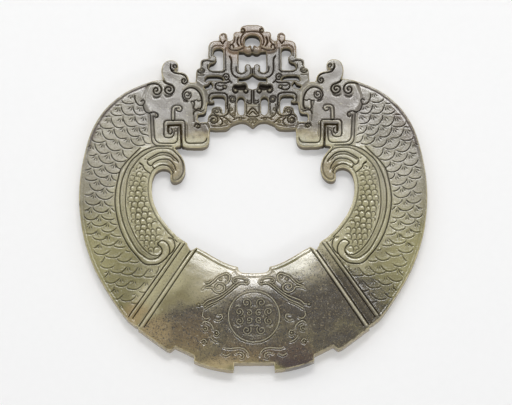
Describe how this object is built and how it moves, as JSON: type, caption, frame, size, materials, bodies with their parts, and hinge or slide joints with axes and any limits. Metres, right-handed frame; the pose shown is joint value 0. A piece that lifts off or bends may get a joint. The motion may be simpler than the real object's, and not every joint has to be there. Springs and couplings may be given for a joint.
{
  "type": "carved dragon plaque",
  "caption": "Openwork jade plaque: two scaled dragons forming a ring, with a pierced crest above and a fan-shaped base panel with a roundel.",
  "frame": {"origin": "middle of the plaque's outline, on its flat underside, as it lies face up", "axes": "+Z out of the carved face, +Y towards the crest, +X to the right as the face is looked at"},
  "size_m": [0.132, 0.1344, 0.0074],
  "materials": {
    "grey_jade": "polished",
    "brown_jade": "polished",
    "olive_jade": "polished",
    "green_jade": "polished",
    "dark_jade": "polished"
  },
  "bodies": {
    "root": {"left_crest_lattice": "grey_jade", "right_crest_lattice": "grey_jade", "left_horn": "grey_jade", "right_horn": "grey_jade", "left_dragon_head": "grey_jade", "right_dragon_head": "grey_jade", "left_wing": "olive_jade", "right_wing": "olive_jade", "left_dragon_body": "green_jade", "right_dragon_body": "green_jade", "left_band": "green_jade", "right_band": "green_jade", "crest_mask": "brown_jade", "crest_foot": "olive_jade", "base_panel": "dark_jade", "roundel": "dark_jade"}
  },
  "joints": []
}
